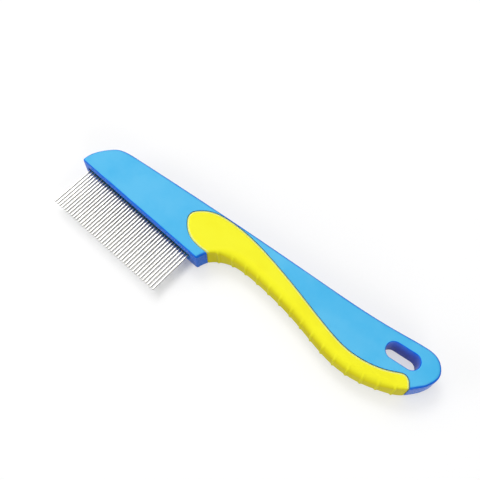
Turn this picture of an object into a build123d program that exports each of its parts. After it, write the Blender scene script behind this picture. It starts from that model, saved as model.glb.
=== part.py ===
from build123d import *
import os

# Flea comb: a flat moulded head and handle, a row of steel pins bedded in a strip that sits
# in a slot along the front of the head, and a soft grip moulded over the handle's lower edge.
# Working frame: X runs from the first pin towards the tail, Y = 0 is the front wall of the
# head with the pins pointing to -Y, and Z = 0 is the underside. Millimetres.

# Driving dimensions: pins
PIN_PITCH = 1.5
PIN_COUNT = 42
PIN_DIAMETER = 0.92
PIN_FREE_LENGTH = 21.3
PIN_BEDDED_LENGTH = 4.6
PIN_TIP_ROUND = 0.4

# Driving dimensions: head and handle moulding
THICKNESS = 12.2
NOSE_REACH = 3.8
HEAD_DEPTH = 16.9
HEAD_CORNER_REACH = 5.6
HEAD_CORNER_LEAN = 0.2
HANDLE_LENGTH = 105.0
WAIST_REACH = 25.1
WAIST_Y = 11.15
BELLY_BACK = 32.1
BELLY_Y = 5.85
TAIL_Y = 27.6
EDGE_ROUND = 1.3
FRONT_EDGE_ROUND = 0.9

# Driving dimensions: hanging slot
SLOT_FROM_TAIL = 15.8
SLOT_BELOW_TAIL = 2.4
SLOT_TILT = 7.8
SLOT_LENGTH = 14.8
SLOT_WIDTH = 7.1
SLOT_LIP_ROUND = 0.6

# Driving dimensions: strip that holds the pins, and how far behind the front wall it sits
STRIP_HEIGHT = 3.6
STRIP_DEPTH = 5.6
STRIP_SET_BACK = 1.4
STRIP_END_MARGIN = 1.2

# Driving dimensions: soft grip
GRIP_SKIN = 1.6
GRIP_EDGE_WALL = 2.2
SEAM_GROOVE = 0.4
POST_COUNT = 3
POST_DIAMETER = 4.0
POST_SPACING = 16.5
POST_SET_BACK = 7.0
RIB_COUNT = 15
RIB_RADIUS = 1.3
RIB_RISE = 0.5
RIB_SPACING = 6.57
RIB_TAIL_OFFSET = 7.3
RIB_END_GAP = 1.2

# Sizes that follow from the driving ones
PIN_RADIUS = PIN_DIAMETER / 2
PIN_ROW_LENGTH = PIN_PITCH * (PIN_COUNT - 1)
HEAD_CORNER_X = PIN_ROW_LENGTH + HEAD_CORNER_REACH
TAIL_X = HEAD_CORNER_X + HANDLE_LENGTH
WAIST_X = HEAD_CORNER_X + WAIST_REACH
BELLY_X = TAIL_X - BELLY_BACK
HEEL = (TAIL_X - 4.7, TAIL_Y - 9.9)
SLOT_X = TAIL_X - SLOT_FROM_TAIL
SLOT_Y = TAIL_Y - SLOT_BELOW_TAIL
MID_Z = THICKNESS / 2
HEAD_OVERRUN = 4.0
SEAM_STEPS = 60
LAND_STEPS = 24


def outline_face():
    """Plan of head and handle, run on past the front wall so that it can be trimmed flat."""
    shoulder = (13.5, HEAD_DEPTH)
    crown = (TAIL_X - 10.4, TAIL_Y + 6.8)
    nose = Spline(
        (-NOSE_REACH, 0),
        (-NOSE_REACH + 0.65, 4.5),
        (-NOSE_REACH + 5.15, HEAD_DEPTH - 5.15),
        shoulder,
        tangents=[(0, 1), (1, 0.125)],
    )
    back = Spline(
        shoulder,
        (HEAD_CORNER_X + 4.0, HEAD_DEPTH + 6.7),
        (HEAD_CORNER_X + 45.0, HEAD_DEPTH + 10.65),
        (TAIL_X - 24.3, TAIL_Y + 4.3),
        crown,
        tangents=[(1, 0.125), (1, 0.13)],
    )
    tail = Spline(
        crown,
        (TAIL_X - 3.1, TAIL_Y + 5.3),
        (TAIL_X, TAIL_Y),
        (TAIL_X - 1.5, TAIL_Y - 5.4),
        HEEL,
        tangents=[(1, 0.13), (-0.62, -0.78)],
    )
    lower = lower_edge()
    down = Line(lower @ 1, (HEAD_CORNER_X - HEAD_OVERRUN * HEAD_CORNER_LEAN, -HEAD_OVERRUN))
    front = Line(down @ 1, (-NOSE_REACH, -HEAD_OVERRUN))
    up = Line(front @ 1, nose @ 0)
    return make_face(Wire([nose, back, tail, lower, down, front, up]))


def lower_edge():
    """From the tail along the belly, up under the head and down to the front wall's corner."""
    return Spline(
        HEEL,
        (TAIL_X - 12.5, TAIL_Y - 16.1),
        (BELLY_X, BELLY_Y),
        ((BELLY_X + WAIST_X) / 2, (BELLY_Y + WAIST_Y) / 2 + 0.45),
        (WAIST_X, WAIST_Y),
        (HEAD_CORNER_X + 8.9, WAIST_Y - 1.65),
        (HEAD_CORNER_X + 2.2, 5.4),
        (HEAD_CORNER_X, 0),
        tangents=[(-0.62, -0.78), (-HEAD_CORNER_LEAN, -1)],
        tangent_scalars=[1, 1],
    )


def rounded_slab(plan):
    """Plan pulled up to the full thickness, rims rounded, then cut flat at the front wall."""
    slab = extrude(plan, THICKNESS)
    rims = slab.faces().sort_by(Axis.Z)
    rim_edges = rims[0].edges() + rims[-1].edges()
    rim_edges = [edge for edge in rim_edges if edge.center().Y > -HEAD_OVERRUN + 0.1]
    slab = fillet(rim_edges, EDGE_ROUND)
    ahead = Pos(TAIL_X / 2, -HEAD_OVERRUN, MID_Z) * Box(2 * TAIL_X, 2 * HEAD_OVERRUN, 2 * THICKNESS)
    return slab - ahead


def head_and_handle(slab):
    """Whole outer form: rounded rims, crisp front wall, hanging slot with rounded lips."""
    form = slab
    front = form.faces().filter_by(Plane.XZ).sort_by(Axis.Y)[0]
    form = fillet(front.edges(), FRONT_EDGE_ROUND)
    slot_plan = Pos(SLOT_X, SLOT_Y) * Rot(0, 0, SLOT_TILT) * SlotOverall(SLOT_LENGTH, SLOT_WIDTH)
    form = form - extrude(slot_plan, THICKNESS)
    centre = Vector(SLOT_X, SLOT_Y, 0)
    lips = []
    for edge in form.edges():
        middle = edge.center()
        in_plan = Vector(middle.X, middle.Y, 0) - centre
        on_a_face = min(middle.Z, THICKNESS - middle.Z) < 0.01
        if in_plan.length < SLOT_LENGTH / 2 and on_a_face:
            lips.append(edge)
    return fillet(lips, SLOT_LIP_ROUND)


def moved_sideways(curve, distance, steps):
    """Smooth copy of a curve, moved to its left by a distance, seen along its direction."""
    points = []
    for i in range(steps + 1):
        along = i / steps
        direction = curve % along
        points.append(curve @ along + Vector(-direction.Y, direction.X, 0) * distance)
    return Spline(*points)


def grip_plan(margin):
    """Plan of the soft grip, a blob behind the head that narrows to a band along the belly.

    margin widens it all along the seam, which leaves a groove between grip and body."""
    seam = Spline(
        (HEAD_CORNER_X + 5.5, 3.9),
        (HEAD_CORNER_X + 2.3, 5.0),
        (HEAD_CORNER_X - 0.5, 4.85),
        (HEAD_CORNER_X - 9.2, 5.8),
        (HEAD_CORNER_X - 14.0, 9.1),
        (HEAD_CORNER_X - 16.1, HEAD_DEPTH - 3.5),
        (HEAD_CORNER_X - 13.8, HEAD_DEPTH + 0.1),
        (HEAD_CORNER_X - 9.0, HEAD_DEPTH + 3.3),
        (HEAD_CORNER_X - 1.1, HEAD_DEPTH + 5.1),
        (HEAD_CORNER_X + 10.9, HEAD_DEPTH + 5.3),
        (WAIST_X - 3.0, HEAD_DEPTH + 4.1),
        (WAIST_X + 8.7, HEAD_DEPTH + 2.1),
        (BELLY_X - 21.1, BELLY_Y + 9.35),
        (BELLY_X - 11.2, BELLY_Y + 7.35),
        (BELLY_X - 0.3, BELLY_Y + 6.35),
        (TAIL_X - 24.9, TAIL_Y - 14.3),
        (TAIL_X - 19.2, TAIL_Y - 12.5),
        (TAIL_X - 13.1, TAIL_Y - 9.2),
        (TAIL_X - 10.8, TAIL_Y - 8.15),
        (TAIL_X - 8.5, TAIL_Y - 8.85),
        (TAIL_X - 6.8, TAIL_Y - 10.7),
        (TAIL_X - 3.6, TAIL_Y - 15.1),
    )
    if margin > 0:
        seam = moved_sideways(seam, margin, SEAM_STEPS)
    below = Polyline(seam @ 1, (BELLY_X, -HEAD_OVERRUN), (WAIST_X, -HEAD_OVERRUN), seam @ 0)
    return make_face(Wire([seam] + below.edges()))


def core_land():
    """Hard core under the grip: set in by the skin on both faces and by the edge wall below."""
    set_in = moved_sideways(lower_edge(), -GRIP_EDGE_WALL, LAND_STEPS)
    far_x = TAIL_X + 10
    far_y = TAIL_Y + 20
    near_x = HEAD_CORNER_X / 2
    around = Polyline(set_in @ 1, (near_x, 0), (near_x, far_y), (far_x, far_y), set_in @ 0)
    land = extrude(make_face(Wire([set_in] + around.edges())), THICKNESS - 2 * GRIP_SKIN)
    return Pos(0, 0, GRIP_SKIN) * land


def posts():
    """Round posts of grip material that join its two faces through the core."""
    column = extrude(Circle(POST_DIAMETER / 2), THICKNESS - 2 * GRIP_SKIN)
    first_x = HEAD_CORNER_X - POST_SET_BACK
    places = [(first_x + POST_SPACING * i, HEAD_DEPTH - 0.7) for i in range(POST_COUNT)]
    return [Pos(x, y, GRIP_SKIN) * column for x, y in places]


def rib(place, outward):
    """One upright finger rib with round ends, standing proud of the grip's edge."""
    length = THICKNESS - 2 * RIB_END_GAP - 2 * RIB_RADIUS
    bar = Cylinder(RIB_RADIUS, length) + Pos(0, 0, length / 2) * Sphere(RIB_RADIUS)
    bar = bar + Pos(0, 0, -length / 2) * Sphere(RIB_RADIUS)
    middle = place - outward * (RIB_RADIUS - RIB_RISE)
    return Pos(middle.X, middle.Y, MID_Z) * bar


def ribs():
    """Ribs at an even spacing along the lower edge, counted from the tail."""
    edge = lower_edge()
    found = []
    for i in range(RIB_COUNT):
        along = (RIB_TAIL_OFFSET + RIB_SPACING * i) / edge.length
        direction = edge % along
        outward = Vector(-direction.Y, direction.X, 0)
        found.append(rib(edge @ along, outward))
    return found


def strip_block(depth):
    """Bar-shaped room for the pin strip, from its front face to the given depth behind it."""
    length = PIN_ROW_LENGTH + 2 * STRIP_END_MARGIN
    block = Box(length, depth, STRIP_HEIGHT, align=(Align.CENTER, Align.MIN, Align.CENTER))
    return Pos(PIN_ROW_LENGTH / 2, 0, MID_Z) * block


def pin_strip():
    """Strip bored with one blind hole for each pin."""
    strip = Pos(0, STRIP_SET_BACK, 0) * strip_block(STRIP_DEPTH)
    hole = Rot(-90, 0, 0) * extrude(Circle(PIN_RADIUS), PIN_BEDDED_LENGTH)
    holes = [Pos(PIN_PITCH * i, STRIP_SET_BACK, MID_Z) * hole for i in range(PIN_COUNT)]
    return strip - holes


def pin():
    """Straight steel pin with a rounded tip at -Y and its butt bedded in the strip."""
    butt = STRIP_SET_BACK + PIN_BEDDED_LENGTH
    rod = Pos(0, butt, 0) * Rot(90, 0, 0) * extrude(Circle(PIN_RADIUS), butt + PIN_FREE_LENGTH)
    tip = rod.edges().sort_by(Axis.Y)[0]
    return fillet(tip, PIN_TIP_ROUND)


def build():
    plan = outline_face()
    slab = rounded_slab(plan)
    form = head_and_handle(slab)
    land = core_land()
    through = extrude(grip_plan(0), THICKNESS)
    groove = extrude(grip_plan(SEAM_GROOVE), THICKNESS)
    columns = posts()

    body = form - (groove - land) - columns
    body = body - strip_block(STRIP_SET_BACK + STRIP_DEPTH)

    grip = (slab & through) - land
    grip = grip + columns + ribs()

    pieces = {"comb_body": body, "grip": grip, "pin_strip": pin_strip()}
    for i in range(PIN_COUNT):
        pieces[f"pin_{i + 1:02d}"] = Pos(PIN_PITCH * i, 0, MID_Z) * pin()
    return pieces


def main():
    pieces = build()
    boxes = [piece.bounding_box() for piece in pieces.values()]
    middle_x = (min(box.min.X for box in boxes) + max(box.max.X for box in boxes)) / 2
    middle_y = (min(box.min.Y for box in boxes) + max(box.max.Y for box in boxes)) / 2
    to_origin = Pos(-middle_x, -middle_y, 0)
    os.makedirs("parts", exist_ok=True)
    for name, piece in pieces.items():
        placed = (to_origin * piece).solid()
        export_step(placed, f"parts/{name}.step")
        print(name, "volume", round(placed.volume, 2))
    print("origin moved by", middle_x, middle_y)


main()
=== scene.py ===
import math

import bpy
import numpy as np
from bpy.props import FloatProperty, FloatVectorProperty, IntProperty, PointerProperty
from bpy.types import Operator, Panel, PropertyGroup
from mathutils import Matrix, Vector


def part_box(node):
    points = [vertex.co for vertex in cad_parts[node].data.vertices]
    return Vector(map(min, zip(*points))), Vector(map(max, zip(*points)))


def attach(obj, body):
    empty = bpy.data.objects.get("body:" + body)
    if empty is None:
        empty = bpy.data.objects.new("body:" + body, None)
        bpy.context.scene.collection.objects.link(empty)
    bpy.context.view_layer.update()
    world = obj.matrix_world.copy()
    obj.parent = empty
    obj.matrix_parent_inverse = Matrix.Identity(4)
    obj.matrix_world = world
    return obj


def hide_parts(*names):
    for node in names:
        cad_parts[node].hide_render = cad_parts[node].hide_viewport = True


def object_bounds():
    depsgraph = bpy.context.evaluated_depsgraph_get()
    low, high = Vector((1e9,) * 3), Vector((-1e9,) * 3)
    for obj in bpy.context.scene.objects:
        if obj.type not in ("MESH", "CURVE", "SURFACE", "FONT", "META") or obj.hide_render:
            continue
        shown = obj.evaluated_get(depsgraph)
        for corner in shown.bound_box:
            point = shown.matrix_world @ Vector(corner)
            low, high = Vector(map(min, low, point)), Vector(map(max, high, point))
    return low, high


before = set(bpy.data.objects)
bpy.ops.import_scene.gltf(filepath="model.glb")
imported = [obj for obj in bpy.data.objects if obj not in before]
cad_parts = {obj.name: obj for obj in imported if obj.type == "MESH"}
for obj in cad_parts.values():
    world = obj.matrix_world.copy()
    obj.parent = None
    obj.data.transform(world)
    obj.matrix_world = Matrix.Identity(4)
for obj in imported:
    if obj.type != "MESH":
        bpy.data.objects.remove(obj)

bl_info = {
    "name": "Flea Comb",
    "version": (1, 0, 0),
    "blender": (4, 5, 0),
    "location": "3D View > Sidebar > Comb",
    "description": "Finishes a flea comb: moulded body, soft ribbed grip, steel pins and a studio",
    "category": "Object",
}

MM = 0.001
ROOT = "root"
CAD_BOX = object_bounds()
BODY_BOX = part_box("comb_body")
PIN_NODES = sorted(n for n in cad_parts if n.startswith("pin_") and n != "pin_strip")
NAME_OF_WIRE = "{}_wire"

# Points on one cut of the grip
OVER_EDGE = 17
ACROSS_FACE = 14
OVER_LIP = 15
DOWN_WALL = 10
UP_SEAM = 6

# Cuts along one pin
ALONG_SHAFT = 15
OVER_TIP = 10


# ---- Small helpers -------------------------------------------------------------------------


def length_property(label, meaning, value):
    return FloatProperty(name=label, description=meaning, default=value, unit="LENGTH", precision=5)


def number_property(label, meaning, value):
    return FloatProperty(name=label, description=meaning, default=value)


def angle_property(label, meaning, degrees):
    turn = math.radians(degrees)
    return FloatProperty(name=label, description=meaning, default=turn, subtype="ANGLE")


def power_property(label, meaning, value):
    return FloatProperty(name=label, description=meaning, default=value, unit="POWER")


def place_property(label, meaning, value):
    return FloatVectorProperty(
        name=label, description=meaning, default=value, subtype="TRANSLATION", unit="LENGTH", size=3
    )


def colour_property(label, meaning, value):
    return FloatVectorProperty(
        name=label, description=meaning, default=value, subtype="COLOR", size=3, min=0, max=1
    )


def smooth_step(value, start, end):
    """0 before start, 1 after end, and an S-shaped rise between them."""
    share = np.clip((value - start) / (end - start), 0.0, 1.0)
    return share * share * (3.0 - 2.0 * share)


def quarter_round(radius, distance):
    """How far a rounded edge has dropped at a distance from it, and 0 beyond its radius."""
    inside = np.maximum(radius - distance, 0.0)
    return radius - np.sqrt(np.maximum(radius**2 - inside**2, 0.0))


def add_mesh(name, vertices, faces, attributes=None):
    """Smooth-shaded mesh object at the origin, riding on the comb, with float attributes."""
    mesh = bpy.data.meshes.new(name)
    mesh.from_pydata(vertices.tolist(), [], faces)
    mesh.validate()
    mesh.polygons.foreach_set("use_smooth", np.ones(len(mesh.polygons), bool))
    for label, values in (attributes or {}).items():
        layer = mesh.attributes.new(label, "FLOAT", "POINT")
        layer.data.foreach_set("value", values.astype(np.float32))
    mesh.update()
    made = bpy.data.objects.new(name, mesh)
    bpy.context.collection.objects.link(made)
    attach(made, ROOT)
    return made


def grid_faces(rings, around):
    """Quads of a grid of rings that close on themselves, plus one flat cap at each end."""
    ring = np.arange(rings - 1)[:, None] * around
    step = np.arange(around)[None, :]
    after = (step + 1) % around
    quads = np.stack([ring + step, ring + after, ring + around + after, ring + around + step], -1)
    faces = quads.reshape(-1, 4).tolist()
    faces.append(list(range(around))[::-1])
    faces.append(list(range((rings - 1) * around, rings * around)))
    return faces


# ---- Node material helpers -----------------------------------------------------------------


class Shader:
    """A node material being built: nodes by kind, links by name."""

    def __init__(self, name):
        self.material = bpy.data.materials.new(name)
        self.material.use_nodes = True
        self.tree = self.material.node_tree
        self.tree.nodes.clear()
        self.output = self.node("OutputMaterial")
        self.place = self.node("TexCoord")

    def node(self, kind, settings=None, **inputs):
        made = self.tree.nodes.new("ShaderNode" + kind)
        for label, value in (settings or {}).items():
            setattr(made, label, value)
        for label, value in inputs.items():
            self.put(made, label.replace("_", " "), value)
        return made

    def put(self, made, label, value):
        socket = made.inputs[int(label[1:])] if label[1:].isdigit() else made.inputs[label]
        if isinstance(value, bpy.types.NodeSocket):
            self.tree.links.new(value, socket)
        elif isinstance(value, (tuple, list)) and len(value) == 3 and socket.type == "RGBA":
            socket.default_value = (*value, 1.0)
        else:
            socket.default_value = value

    def object_place(self, stretch=(1.0, 1.0, 1.0)):
        """The object's own coordinates, stretched by a factor along each axis."""
        made = self.node("Mapping", Vector=self.place.outputs["Object"], Scale=stretch)
        return made.outputs["Vector"]

    def noise(self, per_metre, detail=3.0, rough=0.5, stretch=(1.0, 1.0, 1.0)):
        made = self.node(
            "TexNoise",
            Vector=self.object_place(stretch),
            Scale=per_metre,
            Detail=detail,
            Roughness=rough,
        )
        return made.outputs["Fac"]

    def math(self, operation, a, b=0.0, clamp=False):
        made = self.node("Math", {"operation": operation, "use_clamp": clamp}, i0=a, i1=b)
        return made.outputs[0]

    def span(self, value, low, high, to_low, to_high):
        """Value moved smoothly from one range to another and held at its ends."""
        made = self.node("MapRange", {"interpolation_type": "SMOOTHSTEP"}, Value=value)
        for label, number in zip(("i1", "i2", "i3", "i4"), (low, high, to_low, to_high)):
            self.put(made, label, number)
        return made.outputs["Result"]

    def blend(self, share, a, b):
        made = self.node("Mix", {"data_type": "RGBA"})
        self.put(made, "i0", share)
        self.put(made, "i6", a)
        self.put(made, "i7", b)
        return made.outputs[2]

    def up_share(self):
        """1 on the two broad faces and 0 on upright walls, from the object's own normals."""
        parts = self.node("SeparateXYZ", Vector=self.place.outputs["Normal"])
        return self.math("ABSOLUTE", parts.outputs["Z"])

    def bump(self, height, depth, strength=1.0, under=None):
        made = self.node("Bump", Height=height, Distance=depth, Strength=strength)
        if under is not None:
            self.put(made, "Normal", under)
        return made.outputs["Normal"]

    def finish(self, surface):
        self.put(self.output, "Surface", surface)
        return self.material


# ---- Plan curves of the comb ---------------------------------------------------------------


class PlanFrame:
    """Places in plan, in millimetres from the first pin and the head's front wall.

    The landmarks come from the boxes of the comb's own pieces."""

    def __init__(self, shape):
        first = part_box(PIN_NODES[0])
        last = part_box(PIN_NODES[-1])
        self.zero_x = (first[0][0] + first[1][0]) / 2
        self.zero_y = BODY_BOX[0][1]
        row = ((last[0][0] + last[1][0]) / 2 - self.zero_x) / MM
        self.corner_x = row + shape.corner_reach / MM
        self.tail_x = (BODY_BOX[1][0] - self.zero_x) / MM
        self.tail_y = shape.tail_height / MM
        self.waist = (self.corner_x + shape.waist_reach / MM, shape.waist_height / MM)
        self.belly = (self.tail_x - shape.belly_back / MM, shape.belly_height / MM)
        self.depth = shape.head_depth / MM

    def metres(self, x, y):
        return self.zero_x + x * MM, self.zero_y + y * MM


def smooth_curve(points, start=None, end=None, steps=2400):
    """Cubic curve through the points with continuous bend, dense samples evenly spaced.

    Between two points it is the cubic that has the given places and slopes at both. The slopes
    solve one linear system, which makes the second derivative agree from piece to piece. Unit
    end directions are kept where they are given, and the ends are left unbent elsewhere."""
    points = np.asarray(points, float)
    gaps = np.linalg.norm(np.diff(points, axis=0), axis=1)
    knots = np.concatenate([[0.0], np.cumsum(gaps)])
    count = len(points)
    system = np.zeros((count, count))
    wanted = np.zeros((count, 2))
    inner = np.arange(1, count - 1)
    before = gaps[inner - 1]
    after = gaps[inner]
    system[inner, inner - 1] = after
    system[inner, inner] = 2 * (before + after)
    system[inner, inner + 1] = before
    rise_before = (points[inner] - points[inner - 1]) / before[:, None]
    rise_after = (points[inner + 1] - points[inner]) / after[:, None]
    wanted[inner] = 3 * (rise_before * after[:, None] + rise_after * before[:, None])
    for row, other, given, gap in ((0, 1, start, gaps[0]), (-1, -2, end, gaps[-1])):
        if given is not None:
            system[row, row] = 1.0
            wanted[row] = np.asarray(given) / np.linalg.norm(given)
        else:
            system[row, row] = 2.0
            system[row, other] = 1.0
            chord = points[other] - points[row] if row == 0 else points[row] - points[other]
            wanted[row] = 3 * chord / gap
    slopes = np.linalg.solve(system, wanted)
    place = np.linspace(0.0, knots[-1], steps)
    piece = np.clip(np.searchsorted(knots, place, side="right") - 1, 0, count - 2)
    gap = gaps[piece][:, None]
    share = (place - knots[piece])[:, None] / gap
    left, right = points[piece], points[piece + 1]
    run = (
        left * (1 + 2 * share) * (1 - share) ** 2
        + right * share**2 * (3 - 2 * share)
        + slopes[piece] * gap * share * (1 - share) ** 2
        - slopes[piece + 1] * gap * share**2 * (1 - share)
    )
    return evenly(run, steps)


def evenly(run, steps):
    """The same line with its samples at even distances along it."""
    along = np.concatenate([[0.0], np.cumsum(np.linalg.norm(np.diff(run, axis=0), axis=1))])
    at = np.linspace(0.0, along[-1], steps)
    return np.stack([np.interp(at, along, run[:, 0]), np.interp(at, along, run[:, 1])], 1)


def wall_curve(plan):
    """Lower outline of the handle, from the head's front corner to the heel of the tail."""
    corner, tail = plan.corner_x, plan.tail_x
    (waist_x, waist_y), (belly_x, belly_y) = plan.waist, plan.belly
    points = [
        (corner, 0.0),
        (corner + 2.2, 5.4),
        (corner + 8.9, waist_y - 1.65),
        (waist_x, waist_y),
        ((belly_x + waist_x) / 2, (belly_y + waist_y) / 2 + 0.45),
        (belly_x, belly_y),
        (tail - 12.5, plan.tail_y - 16.1),
        (tail - 4.7, plan.tail_y - 9.9),
    ]
    return smooth_curve(points, start=(0.2, 1.0), end=(0.62, 0.78))


def seam_curve(plan):
    """Edge of the grip on the broad faces: round blob behind the head, then a band."""
    corner, tail, deep = plan.corner_x, plan.tail_x, plan.depth
    waist_x = plan.waist[0]
    belly_x, belly_y = plan.belly
    points = [
        (corner + 5.5, 3.9),
        (corner + 2.3, 5.0),
        (corner - 0.5, 4.85),
        (corner - 9.2, 5.8),
        (corner - 14.0, 9.1),
        (corner - 16.1, deep - 3.5),
        (corner - 13.8, deep + 0.1),
        (corner - 9.0, deep + 3.3),
        (corner - 1.1, deep + 5.1),
        (corner + 10.9, deep + 5.3),
        (waist_x - 3.0, deep + 4.1),
        (waist_x + 8.7, deep + 2.1),
        (belly_x - 21.1, belly_y + 9.35),
        (belly_x - 11.2, belly_y + 7.35),
        (belly_x - 0.3, belly_y + 6.35),
        (tail - 24.9, plan.tail_y - 14.3),
        (tail - 19.2, plan.tail_y - 12.5),
        (tail - 13.1, plan.tail_y - 9.2),
        (tail - 10.8, plan.tail_y - 8.15),
        (tail - 8.5, plan.tail_y - 8.85),
        (tail - 6.8, plan.tail_y - 10.7),
        (tail - 3.6, plan.tail_y - 15.1),
    ]
    return smooth_curve(points)


def crossing(first, second, first_half):
    """Indices where two sampled lines meet, in the first or the second half of each."""
    middle = len(first) // 2
    a = first[:middle] if first_half else first[middle:]
    b = second[:middle] if first_half else second[middle:]
    far = ((a[::2, None, :] - b[None, ::2, :]) ** 2).sum(-1)
    i, j = np.unravel_index(far.argmin(), far.shape)
    shift = 0 if first_half else middle
    return 2 * i + shift, 2 * j + shift


def nearest(points, line):
    """Distance from each point to a sampled line, and how far along the line it is met."""
    flat = points.reshape(-1, 2)
    found = np.empty(len(flat), int)
    for first in range(0, len(flat), 4000):
        block = flat[first : first + 4000]
        far = ((block[:, None, :] - line[None, ::2, :]) ** 2).sum(-1)
        found[first : first + 4000] = far.argmin(1) * 2
    found = np.clip(found, 1, len(line) - 2)
    along = line[found + 1] - line[found - 1]
    along /= np.linalg.norm(along, axis=1)[:, None]
    rest = flat - line[found]
    side = np.abs(rest[:, 0] * along[:, 1] - rest[:, 1] * along[:, 0])
    run = (rest * along).sum(1)
    beyond = np.where((found <= 1) | (found >= len(line) - 3), run, 0.0)
    step = np.linalg.norm(line[1] - line[0])
    shape = points.shape[:-1]
    outward = np.stack([along[:, 1], -along[:, 0]], 1).reshape(*shape, 2)
    distance = np.hypot(side, beyond).reshape(shape)
    return distance, (found * step + run).reshape(shape), outward


# ---- Settings ------------------------------------------------------------------------------


class BodySettings(PropertyGroup):
    face: colour_property("Face", "Satin broad faces", (0.062, 0.455, 0.800))
    # The wall's deeper blue is painted shade. The upright walls get it by their direction, so they
    # look shaded.
    wall: colour_property("Wall", "Polished upright walls, deeper blue", (0.004, 0.155, 0.780))
    worn: colour_property("Worn", "Rubbed rims and flow marks", (0.150, 0.560, 0.860))
    roughness: number_property("Roughness", "Mean roughness of the satin faces", 0.42)
    gloss: number_property("Gloss", "Specular level", 0.09)
    grain_depth: length_property("Grain depth", "Height of the satin mould grain", 0.00003)


class GripSettings(PropertyGroup):
    corner_reach: length_property("Corner reach", "Head corner beyond the last pin", 0.0056)
    head_depth: length_property("Head depth", "Front wall to the head's back at the nose", 0.0169)
    waist_reach: length_property("Waist reach", "Narrowest place behind the head corner", 0.0251)
    waist_height: length_property("Waist height", "Waist above the front wall's line", 0.01115)
    belly_back: length_property("Belly back", "Lowest place of the belly from the tail", 0.0321)
    belly_height: length_property("Belly height", "Belly above the front wall's line", 0.00585)
    tail_height: length_property("Tail height", "Tail's furthest point above the line", 0.0276)
    side_round: length_property("Side round", "Rounding of the grip's long edge", 0.0040)
    end_round: length_property("End round", "The same rounding where the grip ends", 0.0013)
    lip_round: length_property("Lip round", "Rounding of the grip's lip at the seam", 0.00055)
    barrel: length_property("Barrel", "How far the wall's rims lie inside its middle", 0.0001)
    feather: length_property("Feather", "How far the lip reaches into the seam groove", 0.00012)
    rib_rise: length_property("Rib rise", "How far the finger ribs stand out", 0.00042)
    rib_width: length_property("Rib width", "Width of a rib at its foot", 0.0018)
    rib_spacing: length_property("Rib spacing", "Distance between ribs", 0.00657)
    rib_start: length_property("Rib start", "Heel to the first rib", 0.0073)
    rib_fade: length_property("Rib fade", "Where the ribs die out on the faces", 0.0036)
    ribs: IntProperty(name="Ribs", description="Number of finger ribs", default=15)
    sections: IntProperty(name="Sections", description="Cuts along the grip", default=640)
    colour: colour_property("Colour", "Soft yellow compound", (0.890, 0.860, 0.018))
    # Deep is partly random mottle and partly painted shade on the upright walls and in the hollows
    # between ribs.
    deep: colour_property("Deep", "The same in the hollows between ribs", (0.800, 0.690, 0.006))
    # The pale lip colour is a painted highlight along the seam's rounded lip.
    lip: colour_property("Lip", "Thin pale feather at the seam", (0.80, 0.92, 0.45))
    roughness: number_property("Roughness", "Mean roughness", 0.55)
    gloss: number_property("Gloss", "Specular level", 0.12)
    sheen: number_property("Sheen", "Soft bloom at grazing angles", 0.04)
    grain_depth: length_property("Grain depth", "Height of the matt grain", 0.00004)


class PinSettings(PropertyGroup):
    tip_length: length_property("Tip length", "Length of the rounded tip", 0.0006)
    sway: length_property("Sway", "Largest sideways wander of a tip", 0.00004)
    seed: IntProperty(name="Seed", description="Start of the random wander", default=7)
    tip_fullness: number_property("Tip fullness", "Power of the tip's taper", 0.85)
    tip_flat: number_property("Tip flat", "Share of the radius left at the very tip", 0.04)
    around: IntProperty(name="Around", description="Points round the wire", default=28)
    steel: colour_property("Steel", "Polished stainless wire", (0.84, 0.83, 0.78))
    roughness: number_property("Roughness", "Mean roughness", 0.24)
    # The flank darkening is painted shade. The wire's sides, which face the neighbouring pins, are
    # darkened by their direction.
    painted_flank_shade: number_property("Flank", "Darkening of the drawn flanks between pins", 0.96)
    stain: colour_property("Stain", "Duller spots on the wire", (0.50, 0.48, 0.45))
    shade: colour_property("Shade", "Flanks between pins", (0.06, 0.06, 0.05))
    # The root colour is painted shade and a painted reflection of the dark wall, where the wire
    # enters the strip.
    root: colour_property("Root", "Wire where it enters the strip", (0.10, 0.10, 0.12))
    # The strip's near-black is painted shade. It stands in for the deep shade at the pins' roots.
    strip: colour_property("Strip", "Dark strip at the roots", (0.004, 0.008, 0.030))
    dust: colour_property("Dust", "Paler dust on the strip", (0.05, 0.06, 0.09))
    strip_roughness: number_property("Strip roughness", "Mean roughness of the strip", 0.62)


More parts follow.
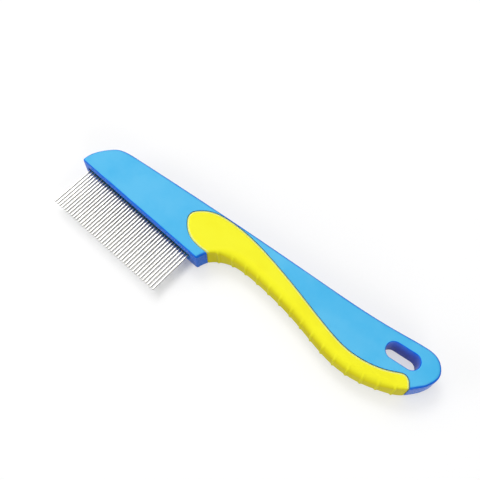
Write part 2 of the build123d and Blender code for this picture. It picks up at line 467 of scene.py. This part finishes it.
class StudioSettings(PropertyGroup):
    azimuth: angle_property("Azimuth", "Camera's turn round the comb", 42.64)
    elevation: angle_property("Elevation", "Camera above the horizon", 65.57)
    distance: length_property("Distance", "Camera to its aim point", 0.3049)
    lens: FloatProperty(name="Lens", description="Focal length", default=52.83, unit="CAMERA")
    aim_x: length_property("Aim X", "Aim point along the comb", -0.010971)
    aim_y: length_property("Aim Y", "Aim point across the comb", 0.013842)
    key_power: power_property("Key power", "Overhead soft light", 18.6)
    key_size: length_property("Key size", "Side of the overhead light", 2.0)
    key_place: place_property("Key place", "Above and behind the head", (-0.65, 0.55, 1.6))
    sheen_power: power_property("Sheen power", "Smaller light that the head mirrors", 8.0)
    sheen_size: length_property("Sheen size", "Side of that light", 0.55)
    sheen_place: place_property("Sheen place", "Where the head mirrors it", (-0.78, 0.52, 1.5))
    tail_power: power_property("Tail fill power", "Low light on the tail's side", 9.0)
    tail_place: place_property("Tail fill place", "Low, beyond the tail", (1.2, -0.75, 0.55))
    head_power: power_property("Head fill power", "Low light on the pins' side", 7.2)
    head_place: place_property("Head fill place", "Low, beyond the pins", (-0.9, -0.9, 0.45))
    fill_size: length_property("Fill size", "Side of both low lights", 0.8)
    sky: number_property("Sky", "Strength of the surrounding light", 0.22)
    floor_reach: length_property("Floor reach", "Middle of the floor to its edges", 4.0)
    glow: number_property("Glow", "Share of the floor's white that no shadow takes away", 0.60)
    glow_pins: number_property("Glow under pins", "The same below the row of pins", 0.05)
    glow_near: length_property("Glow near", "Where the floor starts to whiten away", 0.30)
    glow_far: length_property("Glow far", "Where the floor is white for good", 0.80)
    pins_short: length_property("Pins short", "Tips reach beyond the darker floor", 0.003)
    pins_under: length_property("Pins under", "Darker floor below the head", 0.010)
    pins_blur: length_property("Pins blur", "Soft edge of the darker floor", 0.004)
    clearance: length_property("Clearance", "Floor below the comb's lower face", 0.00004)
    bounce: colour_property("Bounce", "Floor as it lights the comb", (0.16, 0.17, 0.20))


# ---- Operators -----------------------------------------------------------------------------


class COMB_OT_body(Operator):
    """Satin blue moulding: paler grained faces, polished walls in a deeper blue that is painted
    shade, rubbed rims
    """

    bl_idname = "comb.body"
    bl_label = "Body"

    def execute(self, context):
        look = context.scene.comb_body
        s = Shader("body_plastic")
        up = s.up_share()
        clouds = s.noise(45, 4.0, 0.55)
        flow = s.noise(160, 5.0, 0.6, (0.35, 1.0, 1.0))
        grain = s.noise(5200, 2.0, 0.5)
        specks = s.noise(1900, 2.0, 0.6)
        face = s.blend(s.span(clouds, 0.35, 0.7, 0.0, 0.45), look.face[:], look.worn[:])
        face = s.blend(s.span(flow, 0.62, 0.78, 0.0, 0.16), face, look.worn[:])
        # Painted shade: the upright walls take the deeper wall blue and the broad faces take the
        # paler face colour.
        colour = s.blend(s.span(up, 0.78, 0.985, 0.0, 1.0), look.wall[:], face)
        rim = s.math("MULTIPLY", s.span(up, 0.72, 0.93, 0.0, 1.0), s.span(up, 0.94, 0.999, 1.0, 0.0))
        wear = s.math("MULTIPLY", rim, s.span(flow, 0.46, 0.66, 0.0, 0.55))
        colour = s.blend(wear, colour, look.worn[:])
        rough = s.math("ADD", s.span(clouds, 0.3, 0.7, -0.05, 0.07), look.roughness)
        rough = s.math("ADD", rough, s.span(flow, 0.4, 0.7, -0.03, 0.04))
        rough = s.math("MULTIPLY", rough, s.span(up, 0.3, 0.98, 0.72, 1.0))
        height = s.math("ADD", grain, s.math("MULTIPLY", specks, 0.6))
        normal = s.bump(height, look.grain_depth, 0.5)
        surface = s.node(
            "BsdfPrincipled", Base_Color=colour, Roughness=rough, Normal=normal, IOR=1.5
        )
        s.put(surface, "Specular IOR Level", look.gloss)
        material = s.finish(surface.outputs["BSDF"])
        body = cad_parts["comb_body"]
        body.data.materials.clear()
        body.data.materials.append(material)
        return {"FINISHED"}


class COMB_OT_grip(Operator):
    """Soft yellow grip with finger ribs along its edge and a rounded lip at the seam"""

    bl_idname = "comb.grip"
    bl_label = "Grip"

    def execute(self, context):
        shape = context.scene.comb_grip
        plan = PlanFrame(shape)
        wall = wall_curve(plan)
        seam = seam_curve(plan)
        made = self.surface(shape, plan, wall, seam)
        made.data.materials.append(self.compound(shape))
        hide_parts("grip")
        return {"FINISHED"}

    def surface(self, shape, plan, wall, seam):
        """The grip as a closed band of upright cuts.

        One parameter runs along the grip, and joins a place on the outer wall to a place on
        the seam by a straight line in plan. The other runs round the cut: over the top face,
        down the wall, back under the bottom face and up at the seam. The height of a face is
        the full height, less a quarter round by the distance to the wall, less a small quarter
        round by the distance to the seam. A rib is a raised cosine of the distance along the
        wall, pushed out along the wall's normal, and it dies out over the faces."""
        low, high = BODY_BOX[0][2] / MM, BODY_BOX[1][2] / MM
        middle = (low + high) / 2
        wall_head, seam_head = crossing(wall, seam, True)
        wall_tail, seam_tail = crossing(wall, seam, False)
        cuts = shape.sections
        outer = evenly(wall[wall_head : wall_tail + 1], cuts + 2)[1:-1]
        inner = evenly(seam[seam_head : seam_tail + 1], cuts + 2)[1:-1]
        inner_way = np.gradient(inner, axis=0)
        inner_way /= np.linalg.norm(inner_way, axis=1)[:, None]
        inner = inner + np.stack([-inner_way[:, 1], inner_way[:, 0]], 1) * shape.feather / MM
        side, end, lip = shape.side_round / MM, shape.end_round / MM, shape.lip_round / MM

        width = np.linalg.norm(inner - outer, axis=1)[:, None]
        quarter = np.sin(np.linspace(0.0, math.pi / 2, OVER_LIP))[None, :]
        rounded = np.minimum(1.15 * side, 0.45 * width)
        near_wall = rounded * (1 - np.cos(np.linspace(0.0, math.pi / 2, OVER_EDGE)))
        near_seam = width - np.minimum(1.3 * lip, 0.3 * width) * (1 - quarter)
        across = near_seam[:, :1] - near_wall[:, -1:]
        flat = near_wall[:, -1:] + across * np.linspace(0.0, 1.0, ACROSS_FACE + 2)[1:-1]
        reach = np.concatenate([near_wall, flat, near_seam], 1)
        share = reach / width
        place = outer[:, None, :] + (inner - outer)[:, None, :] * share[..., None]

        off_wall, along_wall, outward = nearest(place, wall)
        off_seam, _, _ = nearest(place, seam)
        step = np.linalg.norm(wall[1] - wall[0])
        from_end = np.minimum(along_wall - wall_head * step, wall_tail * step - along_wall)
        radius = end + (side - end) * smooth_step(from_end, 1.0, 13.0)
        face = high - quarter_round(radius, off_wall) - quarter_round(lip, off_seam)

        from_heel = len(wall) * step - along_wall
        turn = (from_heel - shape.rib_start / MM) / (shape.rib_spacing / MM)
        nearest_rib = np.clip(np.round(turn), 0, shape.ribs - 1)
        away = np.abs(turn - nearest_rib) * shape.rib_spacing / shape.rib_width * 2
        swell = 0.5 + 0.5 * np.cos(math.pi * np.clip(away, 0.0, 1.0))
        swell = swell * (1 - smooth_step(off_wall, 0.2, shape.rib_fade / MM))
        place = place + outward * (swell * shape.rib_rise / MM)[..., None]

        levels = np.linspace(1.0, -1.0, DOWN_WALL + 2)[1:-1]
        wall_high = face[:, :1] - middle
        side_z = middle + wall_high * levels
        side_xy = np.repeat(place[:, :1, :], DOWN_WALL, 1)
        pull_in = shape.barrel / MM * levels**2
        side_xy = side_xy - outward[:, :1, :] * pull_in[None, :, None]
        seam_levels = np.linspace(-1.0, 1.0, UP_SEAM + 2)[1:-1]
        seam_z = middle + (face[:, -1:] - middle) * seam_levels
        seam_xy = np.repeat(place[:, -1:, :], UP_SEAM, 1)
        top_z = face[:, ::-1]
        top_xy = place[:, ::-1, :]
        ring_xy = np.concatenate([top_xy, side_xy, place, seam_xy], 1)
        ring_z = np.concatenate([top_z, side_z, 2 * middle - face, seam_z], 1)

        x, y = plan.metres(ring_xy[..., 0], ring_xy[..., 1])
        vertices = np.stack([x, y, ring_z * MM], -1).reshape(-1, 3)
        around = ring_z.shape[1]

        def round_ring(values):
            """The same quantity for every point of a ring, from its value on the face."""
            at_side = np.repeat(values[:, :1], DOWN_WALL, 1)
            at_seam = np.repeat(values[:, -1:], UP_SEAM, 1)
            return np.concatenate([values[:, ::-1], at_side, values, at_seam], 1).reshape(-1)

        faces = grid_faces(cuts, around)
        attributes = {"seam_distance": round_ring(off_seam), "rib_swell": round_ring(swell)}
        return add_mesh("grip_moulding", vertices, faces, attributes)

    def compound(self, look):
        s = Shader("grip_rubber")
        seam = s.node("Attribute", {"attribute_name": "seam_distance"}).outputs["Fac"]
        swell = s.node("Attribute", {"attribute_name": "rib_swell"}).outputs["Fac"]
        up = s.up_share()
        clouds = s.noise(70, 4.0, 0.55)
        fine = s.noise(3600, 2.0, 0.6)
        streak = s.noise(420, 3.0, 0.6, (1.0, 1.0, 0.18))
        colour = s.blend(s.span(clouds, 0.4, 0.75, 0.0, 0.22), look.colour[:], look.deep[:])
        # Painted shade: the upright walls take the deeper colour. It is strongest in the hollows
        # between ribs and weaker on the rib crests.
        upright = s.span(up, 0.2, 0.85, 0.75, 0.0)
        painted_shade_share = s.math("MULTIPLY", upright, s.span(swell, 0.0, 0.7, 1.0, 0.45))
        colour = s.blend(painted_shade_share, colour, look.deep[:])
        crest = s.span(swell, 0.5, 1.0, 0.0, 0.22)
        rubbed = s.math("MULTIPLY", crest, s.span(streak, 0.4, 0.7, 0.2, 1.0))
        colour = s.blend(rubbed, colour, look.colour[:])
        # Painted highlight: a pale band on the faces along the seam, where the rounded lip catches
        # the light.
        seam_highlight_share = s.span(seam, 0.15, 0.75, 0.8, 0.0)
        feather = s.math("MULTIPLY", seam_highlight_share, s.span(up, 0.3, 0.7, 0.0, 1.0))
        colour = s.blend(feather, colour, look.lip[:])
        rough = s.math("ADD", s.span(clouds, 0.3, 0.7, -0.05, 0.08), look.roughness)
        rough = s.math("SUBTRACT", rough, s.math("MULTIPLY", rubbed, 0.25))
        height = s.math("ADD", fine, s.math("MULTIPLY", streak, 0.5))
        normal = s.bump(height, look.grain_depth, 0.5)
        surface = s.node(
            "BsdfPrincipled", Base_Color=colour, Roughness=rough, Normal=normal, IOR=1.48
        )
        s.put(surface, "Specular IOR Level", look.gloss)
        s.put(surface, "Sheen Weight", look.sheen)
        return s.finish(surface.outputs["BSDF"])


class COMB_OT_strip(Operator):
    """Matt dark strip that beds the pins' roots; its near-black is painted shade"""

    bl_idname = "comb.strip"
    bl_label = "Pin strip"

    def execute(self, context):
        look = context.scene.comb_pins
        s = Shader("strip_plastic")
        dust = s.noise(900, 4.0, 0.6)
        bands = s.noise(300, 2.0, 0.5, (4.0, 1.0, 0.3))
        # Painted shade: near-black strip colour in the slot at the pins' roots, with paler dust
        # spots.
        colour = s.blend(s.span(dust, 0.5, 0.8, 0.0, 0.18), look.strip[:], look.dust[:])
        rough = s.math("ADD", s.span(bands, 0.3, 0.7, -0.06, 0.08), look.strip_roughness)
        normal = s.bump(dust, 0.00004, 0.4)
        surface = s.node("BsdfPrincipled", Base_Color=colour, Roughness=rough, Normal=normal, IOR=1.5)
        material = s.finish(surface.outputs["BSDF"])
        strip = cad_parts["pin_strip"]
        strip.data.materials.clear()
        strip.data.materials.append(material)
        return {"FINISHED"}


class COMB_OT_pins(Operator):
    """Row of straight polished steel pins with rounded tips"""

    bl_idname = "comb.pins"
    bl_label = "Pins"

    def execute(self, context):
        look = context.scene.comb_pins
        steel = self.steel(look)
        chance = np.random.default_rng(look.seed)
        for node in PIN_NODES:
            made = self.wire(node, look, chance)
            made.data.materials.append(steel)
            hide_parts(node)
        return {"FINISHED"}

    def wire(self, node, look, chance):
        """One pin as a circle carried along a nearly straight line.

        One parameter runs from the root to the tip and the other round the wire. The radius is
        constant, and over the tip it follows a quarter of a superellipse down to a small flat
        that a cap closes. The line wanders sideways by the square of the distance from the
        strip, by a seeded amount."""
        low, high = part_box(node)
        radius = (high[0] - low[0]) / 2
        centre = ((high[0] + low[0]) / 2, (high[2] + low[2]) / 2)
        shaft = np.linspace(high[1], low[1] + look.tip_length, ALONG_SHAFT)
        angle = np.linspace(0.0, math.pi / 2, OVER_TIP + 1)[1:]
        tip = low[1] + look.tip_length * (1 - np.sin(angle))
        along = np.concatenate([shaft, tip])
        taper = np.maximum(np.cos(angle) ** look.tip_fullness, look.tip_flat)
        size = radius * np.concatenate([np.ones(ALONG_SHAFT), taper])
        free = np.clip((BODY_BOX[0][1] - along) / (BODY_BOX[0][1] - low[1]), 0.0, 1.0) ** 2
        lean_x, lean_z = chance.uniform(-look.sway, look.sway, 2)
        spin = -2 * math.pi * np.arange(look.around) / look.around
        x = centre[0] + (lean_x * free)[:, None] + size[:, None] * np.cos(spin)
        z = centre[1] + (lean_z * free)[:, None] + size[:, None] * np.sin(spin)
        y = np.repeat(along[:, None], look.around, 1)
        vertices = np.stack([x, y, z], -1).reshape(-1, 3)
        faces = grid_faces(len(along), look.around)
        return add_mesh(NAME_OF_WIRE.format(node), vertices, faces)

    def steel(self, look):
        s = Shader("pin_steel")
        parts = s.node("SeparateXYZ", Vector=s.place.outputs["Object"])
        drawn = s.noise(9000, 2.0, 0.6, (1.0, 0.02, 1.0))
        spots = s.noise(900, 4.0, 0.65)
        root = BODY_BOX[0][1]
        # Painted shade and reflection: the wire darkens towards the strip, where it enters the shaded
        # slot.
        painted_root_shade = s.span(parts.outputs["Y"], root - 0.004, root + 0.001, 0.0, 0.7)
        colour = s.blend(s.span(spots, 0.55, 0.8, 0.0, 0.35), look.steel[:], look.stain[:])
        # Painted shade on the wire's sides between neighbouring pins, set by their direction.
        painted_flank_shade = s.span(s.up_share(), 0.40, 0.92, 1.0, 0.0)
        colour = s.blend(s.math("MULTIPLY", painted_flank_shade, look.painted_flank_shade), colour, look.shade[:])
        colour = s.blend(painted_root_shade, colour, look.root[:])
        rough = s.math("ADD", s.span(drawn, 0.3, 0.7, -0.05, 0.08), look.roughness)
        rough = s.math("ADD", rough, s.span(spots, 0.5, 0.8, 0.0, 0.10))
        normal = s.bump(drawn, 0.00001, 0.3)
        surface = s.node(
            "BsdfPrincipled", Base_Color=colour, Metallic=1.0, Roughness=rough, Normal=normal
        )
        return s.finish(surface.outputs["BSDF"])


class COMB_OT_studio(Operator):
    """Floor, lights, surrounding light and camera"""

    bl_idname = "comb.studio"
    bl_label = "Studio"

    def execute(self, context):
        look = context.scene.comb_studio
        self.camera(context, look)
        self.floor(look)
        self.light("key", look.key_power, look.key_size, look.key_place)
        self.light("sheen", look.sheen_power, look.sheen_size, look.sheen_place)
        self.light("fill_tail", look.tail_power, look.fill_size, look.tail_place)
        self.light("fill_head", look.head_power, look.fill_size, look.head_place)
        self.world(context, look)
        context.scene.view_settings.view_transform = "Standard"
        return {"FINISHED"}

    def camera(self, context, look):
        data = bpy.data.cameras.new("camera")
        data.lens = look.lens
        data.sensor_width = 36
        data.clip_start = 0.01
        camera = bpy.data.objects.new("camera", data)
        bpy.context.collection.objects.link(camera)
        level = math.cos(look.elevation)
        turn_x, turn_y = -math.sin(look.azimuth), math.cos(look.azimuth)
        forward = Vector((turn_x * level, turn_y * level, -math.sin(look.elevation)))
        aim = Vector((look.aim_x, look.aim_y, (CAD_BOX[0][2] + CAD_BOX[1][2]) / 2))
        camera.location = aim - forward * look.distance
        camera.rotation_euler = forward.to_track_quat("-Z", "Y").to_euler()
        context.scene.camera = camera

    def floor(self, look):
        reach = look.floor_reach
        mesh = bpy.data.meshes.new("floor")
        corners = [(-reach, -reach), (reach, -reach), (reach, reach), (-reach, reach)]
        height = CAD_BOX[0][2] - look.clearance
        mesh.from_pydata([(x, y, height) for x, y in corners], [], [(0, 1, 2, 3)])
        floor = bpy.data.objects.new("floor", mesh)
        bpy.context.collection.objects.link(floor)
        s = Shader("floor_paper")
        seen = self.seen(s)
        away = s.node("VectorMath", {"operation": "LENGTH"}, i0=s.place.outputs["Object"])
        off_pins = self.off_pins(s, look)
        near = s.span(off_pins, 0.0, look.pins_blur, look.glow_pins, look.glow)
        glow = s.span(away.outputs["Value"], look.glow_near, look.glow_far, near, 1.0)
        paper = s.math("SUBTRACT", 1.0, glow)
        fibre = s.noise(900, 3.0, 0.6)
        paper = s.math("MULTIPLY", paper, s.span(fibre, 0.3, 0.7, 0.985, 1.0))
        white = s.node("CombineColor", Red=paper, Green=paper, Blue=paper)
        colour = s.blend(seen, look.bounce[:], white.outputs["Color"])
        surface = s.node("BsdfDiffuse", Color=colour)
        shine = s.node("Emission", Color=(1.0, 1.0, 1.0), Strength=s.math("MULTIPLY", seen, glow))
        both = s.node("AddShader", i0=surface.outputs["BSDF"], i1=shine.outputs["Emission"])
        below = s.node("NewGeometry").outputs["Backfacing"]
        clear = s.node("BsdfTransparent")
        sides = s.node("MixShader", Fac=below, i1=both.outputs["Shader"], i2=clear.outputs["BSDF"])
        mesh.materials.append(s.finish(sides.outputs["Shader"]))

    def off_pins(self, s, look):
        """How far a place on the floor lies outside the area below the row of pins."""
        parts = s.node("SeparateXYZ", Vector=s.place.outputs["Object"])
        first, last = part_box(PIN_NODES[0]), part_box(PIN_NODES[-1])
        across = (first[0][1] + look.pins_short, BODY_BOX[0][1] + look.pins_under)
        spans = ((first[0][0], last[1][0]), across)
        off = []
        for label, (start, end) in zip("XY", spans):
            gap = s.math("SUBTRACT", parts.outputs[label], (start + end) / 2)
            off.append(s.math("SUBTRACT", s.math("ABSOLUTE", gap), (end - start) / 2))
        return s.math("MAXIMUM", off[0], off[1])

    def seen(self, s):
        """1 for rays that look at the stage directly, in a mirror or through glass."""
        path = s.node("LightPath")
        direct = s.math("MAXIMUM", path.outputs["Is Camera Ray"], path.outputs["Is Glossy Ray"])
        return s.math("MAXIMUM", direct, path.outputs["Is Transmission Ray"])

    def light(self, name, power, size, place):
        """Square soft light that looks at the middle of the comb."""
        data = bpy.data.lights.new(name, "AREA")
        data.energy = power
        data.size = size
        made = bpy.data.objects.new(name, data)
        made.location = place
        made.rotation_euler = (-made.location).to_track_quat("-Z", "Y").to_euler()
        bpy.context.collection.objects.link(made)

    def world(self, context, look):
        world = bpy.data.worlds.new("world")
        context.scene.world = world
        world.use_nodes = True
        tree = world.node_tree
        background = tree.nodes["Background"]
        path = tree.nodes.new("ShaderNodeLightPath")
        total = path.outputs["Is Camera Ray"]
        for label in ("Is Glossy Ray", "Is Transmission Ray"):
            larger = tree.nodes.new("ShaderNodeMath")
            larger.operation = "MAXIMUM"
            tree.links.new(total, larger.inputs[0])
            tree.links.new(path.outputs[label], larger.inputs[1])
            total = larger.outputs[0]
        level = tree.nodes.new("ShaderNodeMapRange")
        tree.links.new(total, level.inputs["Value"])
        level.inputs["To Min"].default_value = look.sky
        level.inputs["To Max"].default_value = 1.0
        tree.links.new(level.outputs["Result"], background.inputs["Strength"])
        background.inputs["Color"].default_value = (1.0, 1.0, 1.0, 1.0)


class COMB_PT_panel(Panel):
    """Sidebar list of the comb's pieces"""

    bl_idname = "COMB_PT_panel"
    bl_label = "Flea comb"
    bl_space_type = "VIEW_3D"
    bl_region_type = "UI"
    bl_category = "Comb"

    def draw(self, context):
        for made in OPERATORS:
            self.layout.operator(made.bl_idname)


OPERATORS = (COMB_OT_body, COMB_OT_grip, COMB_OT_strip, COMB_OT_pins, COMB_OT_studio)
SETTINGS = {
    "comb_body": BodySettings,
    "comb_grip": GripSettings,
    "comb_pins": PinSettings,
    "comb_studio": StudioSettings,
}
CLASSES = (*SETTINGS.values(), *OPERATORS, COMB_PT_panel)


def register():
    for made in CLASSES:
        bpy.utils.register_class(made)
    for name, group in SETTINGS.items():
        setattr(bpy.types.Scene, name, PointerProperty(type=group))


def unregister():
    for name in SETTINGS:
        delattr(bpy.types.Scene, name)
    for made in reversed(CLASSES):
        bpy.utils.unregister_class(made)


def main():
    register()
    bpy.ops.comb.body()
    bpy.ops.comb.grip()
    bpy.ops.comb.strip()
    bpy.ops.comb.pins()
    bpy.ops.comb.studio()


if __name__ == "__main__":
    main()
